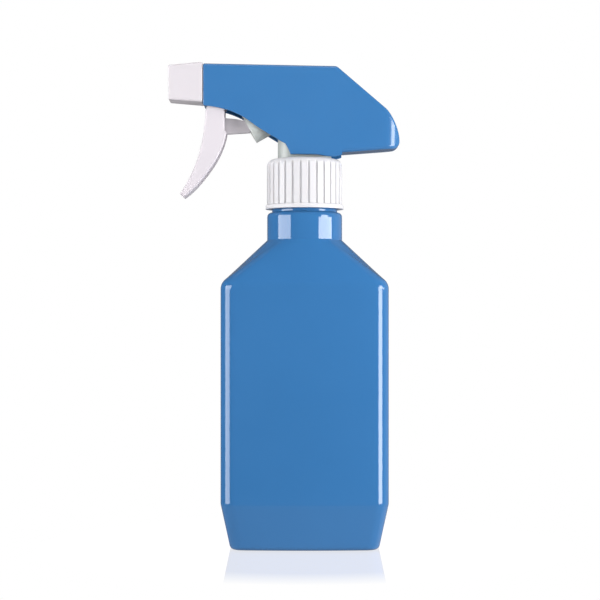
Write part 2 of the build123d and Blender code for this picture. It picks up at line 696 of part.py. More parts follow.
# ================================================================== nozzle seal
with BuildPart() as nozzle_seal:
    with BuildSketch(Plane.XZ):
        with Locations((SEAL_X, SPRAY_HEIGHT + SEAL_GROOVE + SEAL_WIRE)):
            Circle(SEAL_WIRE - SEAL_SLACK)
    revolve(axis=SPRAY_AXIS)
save(nozzle_seal.part, "nozzle_seal")

# ================================================================== nozzle
with BuildPart() as nozzle:
    with BuildSketch(spray_plane(NOZZLE_REAR)):
        Rectangle(NOZZLE_REAR_SIDE, NOZZLE_REAR_SIDE)
    with BuildSketch(spray_plane(NOZZLE_FRONT)):
        Rectangle(NOZZLE_FRONT_SIDE, NOZZLE_FRONT_SIDE)
    loft(ruled=True)
    long_edges = nozzle.edges().filter_by(lambda edge: abs(edge.tangent_at(0.5).X) > 0.5)
    fillet(long_edges, NOZZLE_SIDE_EDGE)
    fillet(nozzle.faces().sort_by(Axis.X)[0].edges(), NOZZLE_FRONT_EDGE)
    fillet(nozzle.faces().sort_by(Axis.X)[-1].edges(), NOZZLE_REAR_EDGE)
    # square hollow around a round hub
    with BuildSketch(spray_plane(NOZZLE_REAR)):
        RectangleRounded(NOZZLE_POCKET, NOZZLE_POCKET, NOZZLE_POCKET_EDGE)
        Circle(NOZZLE_HUB, mode=Mode.SUBTRACT)
    extrude(amount=-NOZZLE_POCKET_DEPTH, mode=Mode.SUBTRACT)
    # socket for the discharge tube, with a groove for its snap bead, then the orifice and its mouth
    with BuildSketch(Plane.XZ):
        with BuildLine():
            Polyline(
                (NOZZLE_REAR, SPRAY_HEIGHT),
                (NOZZLE_REAR, SPRAY_HEIGHT + NOZZLE_BORE + NOZZLE_LEAD_IN),
                (NOZZLE_REAR - NOZZLE_LEAD_IN, SPRAY_HEIGHT + NOZZLE_BORE),
                (SNAP_BEAD + NOZZLE_GROOVE_HALF, SPRAY_HEIGHT + NOZZLE_BORE),
                (SNAP_BEAD + NOZZLE_GROOVE_FLOOR_HALF, SPRAY_HEIGHT + NOZZLE_GROOVE),
                (SNAP_BEAD - NOZZLE_GROOVE_FLOOR_HALF, SPRAY_HEIGHT + NOZZLE_GROOVE),
                (SNAP_BEAD - NOZZLE_GROOVE_HALF, SPRAY_HEIGHT + NOZZLE_BORE),
                (NOZZLE_FACE, SPRAY_HEIGHT + NOZZLE_BORE),
                (NOZZLE_FACE, SPRAY_HEIGHT + ORIFICE_RADIUS),
                (NOZZLE_FACE - ORIFICE_LENGTH, SPRAY_HEIGHT + ORIFICE_RADIUS),
                (NOZZLE_FRONT, SPRAY_HEIGHT + ORIFICE_MOUTH),
                (NOZZLE_FRONT, SPRAY_HEIGHT),
                close=True,
            )
        make_face()
    revolve(axis=SPRAY_AXIS, mode=Mode.SUBTRACT)
save(nozzle.part, "nozzle")

# ================================================================== trigger
# side outline of the lever, from the top down in front and back up behind, as (X, Z)
lever_front = (
    (-43.35, 192.3),
    (-43.8, 186.4),
    (-45.2, 177.3),
    (-47.2, 170.0),
    (-50.3, 162.6),
    (-54.7, 155.1),
)
lever_tip = (-53.0, 153.6)  # rear corner of the lever's square end
lever_rear = ((-49.8, 156.1), (-43.5, 163.1), (-38.5, 170.4), (-34.3, 181.8))
fork_foot = (-35.1, 183.0)
fork_rear = (-35.1, 192.3)
fork_front = (-42.4, 194.2)
eye_rear = (PIVOT_X + 3.6, SPRAY_HEIGHT - 1.75)
eye_top = (PIVOT_X + 0.8, SPRAY_HEIGHT + 3.9)
eye_front = (PIVOT_X - 3.2, SPRAY_HEIGHT + 2.4)
# the hollow leaves the web in front and stays open behind and round the discharge tube
web_inside = [(x + TRIGGER_WEB, z) for x, z in lever_front[:-1]]
web_foot = (-47.6, 159.4)
open_foot = (-40.0, 158.0)
open_middle = (-20.0, 180.0)
open_top_rear = (-20.0, 212.0)
open_top_front = (-48.0, 212.0)
web_top = 197.2
web_top_rear = -41.4
# push arm
arm_top = ((-43.0, 181.0), (-43.0, 188.9), (-34.9, 188.7), (-30.1, 188.3), (-27.4, 187.7))
arm_nose = (-24.2, 185.9)
arm_bottom = ((-24.1, 182.4), (-34.6, 181.7), (-43.0, 181.0))

with BuildPart() as trigger:
    # side outline: lever, then the fork up to the pivot's eye
    with BuildSketch(Plane.XZ):
        with BuildLine():
            Spline(*lever_front)
            Line(lever_front[-1], lever_tip)
            Spline(lever_tip, *lever_rear)
            Polyline(lever_rear[-1], fork_foot, fork_rear, eye_rear)
            ThreePointArc(eye_rear, eye_top, eye_front)
            Polyline(eye_front, fork_front, lever_front[0])
        make_face()
    extrude(amount=TRIGGER_HALF_Y, both=True)
    lever_edges = trigger.edges().filter_by_position(Axis.Z, LEVER_BOTTOM, LEVER_TOP)
    fillet(lever_edges.filter_by(Axis.Y, reverse=True), LEVER_EDGE)
    # hollow between the side walls, open to the rear
    with BuildSketch(Plane.XZ):
        with BuildLine():
            Spline(*web_inside)
            Polyline(
                web_inside[-1],
                web_foot,
                open_foot,
                open_middle,
                open_top_rear,
                open_top_front,
                (open_top_front[0], web_top),
                (web_top_rear, web_top),
                web_inside[0],
            )
        make_face()
    extrude(amount=TRIGGER_HALF_Y - TRIGGER_SIDE, both=True, mode=Mode.SUBTRACT)
    # push arm, whose nose reaches into the pump cylinder
    with BuildSketch(Plane.XZ):
        with BuildLine():
            Polyline(*arm_top)
            ThreePointArc(arm_top[-1], arm_nose, arm_bottom[0])
            Polyline(*arm_bottom)
        make_face()
    extrude(amount=ARM_HALF_Y, both=True)
    # pivot holes
    with BuildSketch(Plane.XZ):
        with Locations((PIVOT_X, SPRAY_HEIGHT)):
            Circle(PIVOT_HOLE)
    extrude(amount=TRIGGER_HALF_Y, both=True, mode=Mode.SUBTRACT)
save(trigger.part, "trigger")

# ================================================================== shroud
top_front = (SHROUD_FRONT_X, 212.1)
top_rear = (14.1, 210.9)
slope_end = (35.5, 192.6)
rear_extreme = (41.7, 178.4)
rear_bottom = (38.4, 174.7)
plate_front = (SHROUD_OPEN_REAR, 173.1)
# the lower rim bulges down a little in front of the closed underside
rim_bulge = ((SHROUD_OPEN_REAR, 172.1), (14.3, 171.4), (11.8, 171.2), (9.0, 171.5), (5.6, 172.1))
rim_front = (-6.2, 172.2)
rim_curve = (-7.1, 174.5)
lower_edge = ((-8.45, 176.9), (-14.7, 180.5), (-21.4, 184.8), (-26.9, 188.6), (-34.7, 191.9))
front_bottom = (SHROUD_FRONT_X, 193.5)

with BuildSketch(Plane.XZ) as shroud_side:
    with BuildLine():
        Line(top_front, top_rear)
        Line(top_rear, slope_end)
        slope = (slope_end[0] - top_rear[0], slope_end[1] - top_rear[1])
        Spline(slope_end, rear_extreme, tangents=(slope, (0, -1)), tangent_scalars=(0.6, 1))
        RadiusArc(rear_extreme, rear_bottom, SHROUD_LOW_CORNER)
        Polyline(rear_bottom, plate_front, rim_bulge[0])
        Spline(*rim_bulge)
        Line(rim_bulge[-1], rim_front)
        Spline(rim_front, rim_curve, lower_edge[0])
        Spline(*lower_edge, front_bottom)
        Line(front_bottom, top_front)
    make_face()
    fillet(shroud_side.vertices().sort_by_distance(top_rear)[0], SHROUD_TOP_BEND)
    fillet(shroud_side.vertices().sort_by_distance(front_bottom)[0], SHROUD_FRONT_CORNER)


def shroud_plan(half_y, rear_x, corner):
    """Outline from above: straight sides and a rounded rear end."""
    front_x = SHROUD_FRONT_X - PLAN_SPARE
    with BuildSketch(Plane.XY) as plan:
        with BuildLine():
            FilletPolyline(
                (front_x, -half_y),
                (rear_x, -half_y),
                (rear_x, half_y),
                (front_x, half_y),
                radius=corner,
            )
            Line((front_x, half_y), (front_x, -half_y))
        make_face()
    return plan.sketch


# hollow inside the cover, which runs out through the open underside
hollow_front = SHROUD_FRONT_X + SHROUD_WALL
slope_angle = math.atan2(top_rear[1] - slope_end[1], slope_end[0] - top_rear[0])
hollow_slope_end = (
    slope_end[0] - SHROUD_WALL * math.sin(slope_angle),
    slope_end[1] - SHROUD_WALL * math.cos(slope_angle),
)
hollow_top_rear = (top_rear[0] - SHROUD_WALL * math.tan(slope_angle / 2), top_rear[1] - SHROUD_WALL)
hollow_rear = (rear_extreme[0] - SHROUD_WALL, rear_extreme[1])
hollow_bottom = (rear_bottom[0], rear_bottom[1] + SHROUD_WALL)

with BuildPart() as shroud_hollow:
    with BuildSketch(Plane.XZ):
        with BuildLine():
            Line((hollow_front, top_front[1] - SHROUD_WALL), hollow_top_rear)
            Line(hollow_top_rear, hollow_slope_end)
            Spline(hollow_slope_end, hollow_rear, tangents=(slope, (0, -1)), tangent_scalars=(0.6, 1))
            RadiusArc(hollow_rear, hollow_bottom, HOLLOW_LOW_CORNER)
            Polyline(
                hollow_bottom,
                (SHROUD_OPEN_REAR, plate_front[1] + SHROUD_WALL),
                (SHROUD_OPEN_REAR, HOLLOW_BOTTOM),
                (hollow_front, HOLLOW_BOTTOM),
                (hollow_front, top_front[1] - SHROUD_WALL),
            )
        make_face()
    extrude(amount=SHROUD_HALF_Y, both=True)
    with BuildSketch(Plane.XY.offset(PLAN_BOTTOM)):
        add(
            shroud_plan(
                SHROUD_HALF_Y - SHROUD_WALL,
                rear_extreme[0] - SHROUD_WALL,
                SHROUD_REAR_CORNER - SHROUD_WALL,
            )
        )
    extrude(amount=PLAN_TOP - PLAN_BOTTOM, mode=Mode.INTERSECT)

with BuildPart() as shroud:
    with BuildSketch(Plane.XZ.offset(-SHROUD_HALF_Y)):
        add(shroud_side.sketch_local)
    extrude(amount=2 * SHROUD_HALF_Y)
    with BuildSketch(Plane.XY.offset(PLAN_BOTTOM)):
        add(shroud_plan(SHROUD_HALF_Y, rear_extreme[0] + SHROUD_REAR_REACH, SHROUD_REAR_CORNER))
    extrude(amount=PLAN_TOP - PLAN_BOTTOM, mode=Mode.INTERSECT)
    # round the outline's edges on both sides, except round the open underside and the front
    side_edges = shroud.edges().filter_by(lambda edge: abs(edge.center().Y) > SHROUD_HALF_Y / 2)
    outline_edges = side_edges.filter_by(
        lambda edge: edge.center().Z > SPRAY_HEIGHT and edge.center().X > hollow_front
        or edge.center().X > SHROUD_OPEN_REAR + SHROUD_LIP
    )
    fillet(outline_edges, SHROUD_TOP_EDGE)
    add(shroud_hollow.part, mode=Mode.SUBTRACT)
    with BuildSketch(spray_plane(SHROUD_FRONT_X)):
        Circle(SHROUD_TUBE_HOLE)
    extrude(amount=SHROUD_WALL, mode=Mode.SUBTRACT)
    # round the lip of the open underside, outside and inside
    wall_inside = SHROUD_HALF_Y - SHROUD_WALL - FIT
    lip_edges = shroud.edges().filter_by(
        lambda edge: edge.center().X < SHROUD_OPEN_REAR - SHROUD_LIP
        and abs(edge.center().Y) > wall_inside
        and (edge.center().Z < front_bottom[1] - 1 or edge.geom_type == GeomType.BSPLINE)
        and abs((edge @ 0).Y - (edge @ 1).Y) < FIT
    )
    fillet(lip_edges, SHROUD_LIP)
save(shroud.part, "shroud")
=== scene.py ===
import math

import bmesh
import bpy
import numpy as np
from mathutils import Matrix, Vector


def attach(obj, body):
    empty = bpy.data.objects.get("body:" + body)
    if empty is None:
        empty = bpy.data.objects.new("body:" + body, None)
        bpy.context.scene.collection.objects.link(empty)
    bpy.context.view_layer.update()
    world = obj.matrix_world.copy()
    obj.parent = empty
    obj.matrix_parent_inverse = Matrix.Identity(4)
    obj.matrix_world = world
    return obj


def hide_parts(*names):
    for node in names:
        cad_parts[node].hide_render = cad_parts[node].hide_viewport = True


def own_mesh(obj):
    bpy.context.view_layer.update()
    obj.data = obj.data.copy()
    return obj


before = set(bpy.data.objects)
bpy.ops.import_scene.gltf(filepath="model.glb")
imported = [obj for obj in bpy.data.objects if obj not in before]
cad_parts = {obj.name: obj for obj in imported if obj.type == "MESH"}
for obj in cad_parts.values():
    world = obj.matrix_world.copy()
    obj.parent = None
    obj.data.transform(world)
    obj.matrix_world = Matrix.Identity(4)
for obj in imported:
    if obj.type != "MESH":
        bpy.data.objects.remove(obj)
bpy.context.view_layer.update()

MM = 0.001

# Sizes of the bottle, in millimetres. The bottle's axis is Z and its foot stands on Z = 0.
WALL = 1.2
BODY = (36.8, 22.0, 7.2)  # half width, half depth, corner radius
FOOT = (32.6, 18.2, 6.4)
CROWN_X = 0.7  # how far the two narrow sides stand out in their middle
CROWN_Y = 1.8  # how far the front and back stand out
FOOT_EDGE = 2.2  # EDGE sizes are the radii of rounded edges
TAPER_TOP = 20.0
TAPER_EDGE = 6.0
SHOULDER_BOTTOM = 115.9
SHOULDER_EDGE = 5.3
SHOULDER_TOP = 134.9
COLLAR_RADIUS = 16.5
COLLAR_FOOT_EDGE = 0.5
COLLAR_TOP = 147.1
COLLAR_EDGE = 1.9
BEAD_RADIUS = 14.35
BEAD_FOOT_EDGE = 0.3
BEAD_TOP = 150.0
BEAD_EDGE = 0.6
NECK_RADIUS = 12.55
NECK_FOOT_EDGE = 0.4
NECK_BORE = 10.8
RIM_HEIGHT = 164.9
RIM_EDGE = 0.5
RIM_INNER_EDGE = 0.3
PUSH_UP = 1.6  # height of the recess under the base
PUSH_UP_EDGE = 0.8
PUSH_UP_MIDDLE = 0.15  # share of the recess that the mesh's closing fan spans
FOOT_RING = 4.5  # width of the ring that the bottle stands on
INNER_NECK_EDGE = 1.0
FLOOR_EDGE = 1.5
FLOOR_MIDDLE = 0.2  # share of the inner floor that the closing fan spans
RIDGE_ANGLE = 55.0  # where the shoulder's ridges meet the collar, from the X axis
RIDGE_HALF_ANGLE = 5.0
THREAD_PITCH = 4.233
THREAD_TURNS = 1.5
THREAD_START = 156.2
THREAD_HEIGHT = 1.15
THREAD_HALF_WIDTH = 1.15
THREAD_FLANK = 0.65
THREAD_RUN_IN = 15  # degrees over which an end of the thread rises
THREAD_ROOM_BELOW = 1.0  # plain neck left over the bead and under the rim
THREAD_ROOM_ABOVE = 0.6
NECK_SLACK = 0.2  # a row of the neck is outside when it is no further in than this

# The pump's two coil springs, in millimetres: coil radius, wire radius, pitch, length.
RETURN_COIL = (3.6, 0.35, 2.05, 10.7)
OUTLET_COIL = (2.1, 0.22, 1.15, 5.36)
CYLINDER_MOUTH = np.array([-24.5, 0, 184.1])
CYLINDER_TILT = math.radians(29)
RETURN_SPRING_DEPTH = 10.85  # of its first coil, past the cylinder's mouth
OUTLET_SPRING_START = (-49.73, 0, 203.9)
PISTON_TRAVEL = 6.4
VALVE_TRAVEL = 0.8

END_STEPS = 16  # columns of the bottle's mesh along a narrow side, a wide side and a corner
FRONT_STEPS = 32
CORNER_STEPS = 9
ARC_STEPS = 8  # rows of a rounded edge
COIL_STEPS = 28  # points in a turn of a spring, and round its wire
WIRE_STEPS = 10

# Scales of the materials' noise, in cycles per metre, and depths of their bumps, in metres.
DRIFT_SCALE = 22
SMEAR_SCALE = 160
STEEL_SMEAR_SCALE = 700
GRAIN_SCALE = 900
GRAIN_DEPTH = 0.00004
WAVE_SCALE = 40
WAVE_DEPTH = 0.0004
DRIFT_RANGE = (0.35, 0.65)  # the middle part of a noise that is stretched to the whole range
SMEAR_RANGE = (0.3, 0.7)
STEEL_GLOSS_SPREAD = 0.3  # as a share of the roughness
SCATTER_RADIUS = (1.0, 0.9, 0.8)
SCATTER_SCALE = 0.002

# The studio, in metres.
SOFTBOX_DISTANCE = 0.8
FLOOR_HALF = 4
MIRROR_NEAR = 0.086  # distances from the middle between which the floor's faint mirror fades
MIRROR_FAR = 0.118
MIRROR_SHARE = 0.27
MIRROR_COLOUR = (1.2, 1.2, 1.5, 1)
MIRROR_ROUGHNESS = 0.03
RING_RADIUS = 0.125
RING_BOTTOM = -0.01
RING_TOP = 0.30
RING_SIDES = 64
FLOOR_START = (0.0002, 0.0006)  # a ray that starts below this height started on the floor
ROOM_DIM = 0.16
ROOM_BRIGHT = 0.5
ROOM_BELOW = 0.4
BEHIND = (-0.1, 0.2)  # parts of a direction between which the room's light changes
BESIDE = (0.35, 0.6)
BELOW = (-0.5, -0.1)
WHITE = (1, 1, 1, 1)
CAMERA_PLACE = (-0.00203, -0.7947, 0.0998)
CAMERA_LENS = 108
CAMERA_SENSOR = 36
CAMERA_SHIFT = 1 / 30


# ---------------------------------------------------------------- meshes
def mesh_object(name, vertices, faces):
    """New smooth object from vertices in millimetres."""
    mesh = bpy.data.meshes.new(name)
    mesh.from_pydata([tuple(v) for v in np.asarray(vertices, float) * MM], [], faces)
    mesh.validate()
    mesh.polygons.foreach_set("use_smooth", [True] * len(mesh.polygons))
    piece = bpy.data.objects.new(name, mesh)
    bpy.context.scene.collection.objects.link(piece)
    return piece


def face_outwards(piece):
    """Make every face of a closed mesh look outwards."""
    mesh = bmesh.new()
    mesh.from_mesh(piece.data)
    bmesh.ops.recalc_face_normals(mesh, faces=mesh.faces)
    mesh.to_mesh(piece.data)
    mesh.free()


def tube_of_rows(name, rows):
    """Closed mesh from rings of equal length, the first and the last closed by a fan."""
    count, columns, _ = rows.shape
    vertices = rows.reshape(-1, 3)
    faces = []
    for row in range(count - 1):
        for column in range(columns):
            right = (column + 1) % columns
            low, high = row * columns, (row + 1) * columns
            faces.append((low + column, low + right, high + right, high + column))
    for row, flip in ((0, True), (count - 1, False)):
        middle = len(vertices)
        vertices = np.concatenate([vertices, rows[row].mean(0)[None]])
        for column in range(columns):
            right = (column + 1) % columns
            corner = [row * columns + column, row * columns + right, middle]
            faces.append(tuple(reversed(corner)) if flip else tuple(corner))
    piece = mesh_object(name, vertices, faces)
    face_outwards(piece)
    return piece


def unit(vectors):
    """Rows of vectors, each at length one."""
    return vectors / np.linalg.norm(vectors, axis=1, keepdims=True)


def make_spring(name, start, direction, radius, wire, pitch, length):
    """Coil spring along a direction from the middle of its first coil's end; sizes in millimetres."""
    direction = np.asarray(direction, float)
    side = np.array([0.0, 1.0, 0.0])
    up = np.cross(direction, side)
    turns = length / pitch
    turn = np.linspace(0, 2 * math.pi * turns, int(COIL_STEPS * length / pitch))[:, None]
    outward = np.cos(turn) * side + np.sin(turn) * up
    rise = pitch / (2 * math.pi)
    middle = np.asarray(start, float) + radius * outward + rise * turn * direction
    along = unit(radius * (np.cos(turn) * up - np.sin(turn) * side) + rise * direction)
    across = np.cross(along, outward)
    rows = []
    for angle in np.linspace(0, 2 * math.pi, WIRE_STEPS, endpoint=False):
        rows.append(middle + wire * (math.cos(angle) * outward + math.sin(angle) * across))
    return tube_of_rows(name, np.stack(rows, 1))


def side_radius(half_chord, crown):
    """Radius of the circle of a side that stands out by its crown in the middle."""
    return (half_chord**2 + crown**2) / (2 * crown)


def turned(start, end, steps):
    """Angles from start towards end, without the end: degrees in, radians out."""
    return np.radians(start + (end - start) * np.arange(steps) / steps)


def on_circle(centre, radius, angles):
    """Points on a circle at angles."""
    return np.stack([centre[0] + radius * np.cos(angles), centre[1] + radius * np.sin(angles)], 1)


def body_section(half_x, half_y, corner):
    """Points of a rounded rectangle with convex sides, anticlockwise from the low end of the +X side."""
    end_radius = side_radius(half_y - CROWN_Y, CROWN_X)
    front_radius = side_radius(half_x - CROWN_X, CROWN_Y)
    end_centre = np.array([half_x - end_radius, 0])
    front_centre = np.array([0, half_y - front_radius])
    # a corner's circle touches both sides from inside
    between = front_centre - end_centre
    gap = np.linalg.norm(between)
    reach, other = end_radius - corner, front_radius - corner
    along = (reach**2 - other**2 + gap**2) / (2 * gap)
    up = math.sqrt(reach**2 - along**2)
    forward = between / gap
    sideways = up * np.array([forward[1], -forward[0]])
    corner_centre = end_centre + forward * along + sideways
    if corner_centre[0] < 0:
        corner_centre = end_centre + forward * along - sideways
    offset = corner_centre - end_centre
    end_turn = math.degrees(math.atan2(offset[1], offset[0]))
    offset = corner_centre - front_centre
    front_turn = math.degrees(math.atan2(offset[0], offset[1]))
    cx, cy = corner_centre
    parts = []
    for half, sign in ((0, 1), (180, -1)):
        side_end = half + end_turn
        front_start = half + 90 - front_turn
        front_end = half + 90 + front_turn
        next_side = half + 180 - end_turn
        for centre, radius, start, end, steps in (
            (sign * end_centre, end_radius, half - end_turn, side_end, END_STEPS),
            ((sign * cx, sign * cy), corner, side_end, front_start, CORNER_STEPS),
            (sign * front_centre, front_radius, front_start, front_end, FRONT_STEPS),
            ((-sign * cx, sign * cy), corner, front_end, next_side, CORNER_STEPS),
        ):
            parts.append(on_circle(centre, radius, turned(start, end, steps)))
    return np.concatenate(parts)


def ring_section(radius):
    """Circle whose points pair with the body section's, side for side and corner for corner."""
    low, high = RIDGE_ANGLE - RIDGE_HALF_ANGLE, RIDGE_ANGLE + RIDGE_HALF_ANGLE
    parts = []
    for half in (0, 180):
        parts.append(turned(half - low, half + low, END_STEPS))
        parts.append(turned(half + low, half + high, CORNER_STEPS))
        parts.append(turned(half + high, half + 180 - high, FRONT_STEPS))
        parts.append(turned(half + 180 - high, half + 180 - low, CORNER_STEPS))
    return on_circle((0, 0), radius, np.concatenate(parts))


def rounding(here, before, after, radius):
    """Arc that rounds a corner in every column: where it starts, and its rows of points."""
    turn = np.arccos(np.clip((before * after).sum(1), -1, 1))
    reach = radius * np.tan(turn / 2)
    inward = after - before * (before * after).sum(1, keepdims=True)
    inward /= np.maximum(np.linalg.norm(inward, axis=1, keepdims=True), 1e-9)
    start = here - before * reach[:, None]
    centre = start + inward * radius
    rows = []
    for share in np.arange(1, ARC_STEPS + 1) / ARC_STEPS:
        angle = (turn * share)[:, None]
        rows.append(centre - inward * radius * np.cos(angle) + before * radius * np.sin(angle))
    return start, rows


def rounded_columns(knots):
    """Rows of points down every column of a section, with a circular arc at each knot.

    A knot is (section points, height, radius of the rounding, steps to the next knot)."""
    line = []
    for section, height, _, _ in knots:
        line.append(np.concatenate([section, np.full((len(section), 1), height)], 1))
    rows = [line[0]]
    for number in range(1, len(knots)):
        here = line[number]
        radius = knots[number][2]
        if number == len(knots) - 1 or radius == 0:
            stop, arc_rows = here, []
        else:
            before = unit(here - line[number - 1])
            after = unit(line[number + 1] - here)
            stop, arc_rows = rounding(here, before, after, radius)
        steps = knots[number - 1][3]
        start = rows[-1]
        for step in range(1, steps + 1):
            rows.append(start + (stop - start) * step / steps)
        rows.extend(arc_rows)
    return np.array(rows)


def inset(section, amount):
    """The same three sizes of a section, moved inwards."""
    return section[0] - amount, section[1] - amount, section[2] - amount


def raise_thread(rows):
    """Raise the screw thread, a helical ridge, out of the rows of the neck's outside."""
    radius = np.hypot(rows[..., 0], rows[..., 1])
    angle = np.degrees(np.arctan2(rows[..., 1], rows[..., 0])) % 360
    height = rows[..., 2]
    above_bead = height > BEAD_TOP + THREAD_ROOM_BELOW
    under_rim = height < RIM_HEIGHT - THREAD_ROOM_ABOVE
    outer_neck = above_bead & under_rim & (radius > NECK_RADIUS - NECK_SLACK)
    raised = np.zeros_like(radius)
    for turn_number in range(math.ceil(THREAD_TURNS)):
        along = turn_number * 360 + angle
        middle = THREAD_START + THREAD_PITCH * along / 360
        ends = np.clip(np.minimum(along, THREAD_TURNS * 360 - along) / THREAD_RUN_IN, 0, 1)
        ridge = np.clip((THREAD_HALF_WIDTH - np.abs(height - middle)) / THREAD_FLANK, 0, 1)
        raised = np.maximum(raised, ridge * ridge * (3 - 2 * ridge) * ends * THREAD_HEIGHT)
    raised = np.where(outer_neck, raised, 0)
    rows[..., :2] *= (1 + raised / radius)[..., None]


def make_bottle():
    """Blown bottle as one closed skin: under the base, up outside, over the rim, down to the inner floor."""
    recess_edge = body_section(*inset(FOOT, FOOT_RING))
    recess_roof = body_section(*inset(FOOT, FOOT_RING + PUSH_UP))
    inner_body = body_section(*inset(BODY, WALL))
    inner_floor = body_section(*inset(FOOT, WALL))
    inner_collar = ring_section(COLLAR_RADIUS - WALL)
    turn = math.atan2(BODY[0] - COLLAR_RADIUS, SHOULDER_TOP - SHOULDER_BOTTOM)
    drop = WALL * math.tan(turn / 2)
    knots = [
        (recess_roof * PUSH_UP_MIDDLE, PUSH_UP, 0, 3),
        (recess_roof, PUSH_UP, PUSH_UP_EDGE, 2),
        (recess_edge, 0, PUSH_UP_EDGE, 2),
        (body_section(*FOOT), 0, FOOT_EDGE, 8),
        (body_section(*BODY), TAPER_TOP, TAPER_EDGE, 40),
        (body_section(*BODY), SHOULDER_BOTTOM, SHOULDER_EDGE, 24),
        (ring_section(COLLAR_RADIUS), SHOULDER_TOP, COLLAR_FOOT_EDGE, 8),
        (ring_section(COLLAR_RADIUS), COLLAR_TOP, COLLAR_EDGE, 1),
        (ring_section(BEAD_RADIUS), COLLAR_TOP, BEAD_FOOT_EDGE, 1),
        (ring_section(BEAD_RADIUS), BEAD_TOP, BEAD_EDGE, 1),
        (ring_section(NECK_RADIUS), BEAD_TOP, NECK_FOOT_EDGE, 48),
        (ring_section(NECK_RADIUS), RIM_HEIGHT, RIM_EDGE, 1),
        (ring_section(NECK_BORE), RIM_HEIGHT, RIM_INNER_EDGE, 12),
        (ring_section(NECK_BORE), COLLAR_TOP - WALL, INNER_NECK_EDGE, 2),
        (inner_collar, COLLAR_TOP - COLLAR_EDGE - WALL, INNER_NECK_EDGE, 6),
        (inner_collar, SHOULDER_TOP - drop, COLLAR_FOOT_EDGE, 12),
        (inner_body, SHOULDER_BOTTOM - drop, SHOULDER_EDGE - WALL, 30),
        (inner_body, TAPER_TOP, TAPER_EDGE, 8),
        (inner_floor, PUSH_UP + WALL, FLOOR_EDGE, 4),
        (inner_floor * FLOOR_MIDDLE, PUSH_UP + WALL, 0, 0),
    ]
    rows = rounded_columns(knots)
    raise_thread(rows)
    return tube_of_rows("bottle_skin", rows)


# ---------------------------------------------------------------- materials
def shader(name):
    """New material, with its nodes, its links and its Principled shader."""
    material = bpy.data.materials.new(name)
    material.use_nodes = True
    nodes = material.node_tree.nodes
    return material, nodes, material.node_tree.links, nodes["Principled BSDF"]


def noise(nodes, links, scale, detail, roughness=0.5):
    """Noise over the object's own coordinates; scale is in cycles per metre."""
    place = nodes.new("ShaderNodeTexCoord")
    texture = nodes.new("ShaderNodeTexNoise")
    texture.inputs["Scale"].default_value = scale
    texture.inputs["Detail"].default_value = detail
    texture.inputs["Roughness"].default_value = roughness
    links.new(place.outputs["Object"], texture.inputs["Vector"])
    return texture.outputs["Fac"]


def ramp(nodes, links, value, low, high, start, end):
    """Map a value from one range to another."""
    stretch = nodes.new("ShaderNodeMapRange")
    stretch.inputs["From Min"].default_value = low
    stretch.inputs["From Max"].default_value = high
    stretch.inputs["To Min"].default_value = start
    stretch.inputs["To Max"].default_value = end
    links.new(value, stretch.inputs["Value"])
    return stretch.outputs["Result"]


def plastic(name, colour, shade, roughness, gloss_spread, grain=0.0, wave=0.0, subsurface=0.0):
    """Moulded plastic: a base colour that drifts slightly, uneven gloss, a fine grain and a slow wave."""
    material, nodes, links, principled = shader(name)
    drift = noise(nodes, links, DRIFT_SCALE, 2)
    mix = nodes.new("ShaderNodeMix")
    mix.data_type = "RGBA"
    mix.inputs["A"].default_value = (*colour, 1)
    mix.inputs["B"].default_value = (*shade, 1)
    links.new(ramp(nodes, links, drift, *DRIFT_RANGE, 0, 1), mix.inputs["Factor"])
    links.new(mix.outputs["Result"], principled.inputs["Base Color"])
    smear = noise(nodes, links, SMEAR_SCALE, 4, 0.6)
    dull, bright = roughness + gloss_spread, roughness - gloss_spread
    links.new(ramp(nodes, links, smear, *SMEAR_RANGE, bright, dull), principled.inputs["Roughness"])
    if subsurface:
        principled.inputs["Subsurface Weight"].default_value = subsurface
        principled.inputs["Subsurface Radius"].default_value = SCATTER_RADIUS
        principled.inputs["Subsurface Scale"].default_value = SCATTER_SCALE
    normal = None
    for strength, scale, depth in ((grain, GRAIN_SCALE, GRAIN_DEPTH), (wave, WAVE_SCALE, WAVE_DEPTH)):
        if strength == 0:
            continue
        bump = nodes.new("ShaderNodeBump")
        bump.inputs["Strength"].default_value = strength
        bump.inputs["Distance"].default_value = depth
        links.new(noise(nodes, links, scale, 2), bump.inputs["Height"])
        if normal:
            links.new(normal, bump.inputs["Normal"])
        normal = bump.outputs["Normal"]
    if normal:
        links.new(normal, principled.inputs["Normal"])
    return material


def metal(name, colour, roughness):
    """Drawn or polished steel."""
    material, nodes, links, principled = shader(name)
    principled.inputs["Base Color"].default_value = (*colour, 1)
    principled.inputs["Metallic"].default_value = 1
    smear = noise(nodes, links, STEEL_SMEAR_SCALE, 3)
    dull, bright = roughness * (1 + STEEL_GLOSS_SPREAD), roughness * (1 - STEEL_GLOSS_SPREAD)
    links.new(ramp(nodes, links, smear, *SMEAR_RANGE, bright, dull), principled.inputs["Roughness"])
    return material


def wear(piece, material):
    """Give a piece one material in every slot."""
    if piece.data.materials:
        for number in range(len(piece.data.materials)):
            piece.data.materials[number] = material
    else:
        piece.data.materials.append(material)


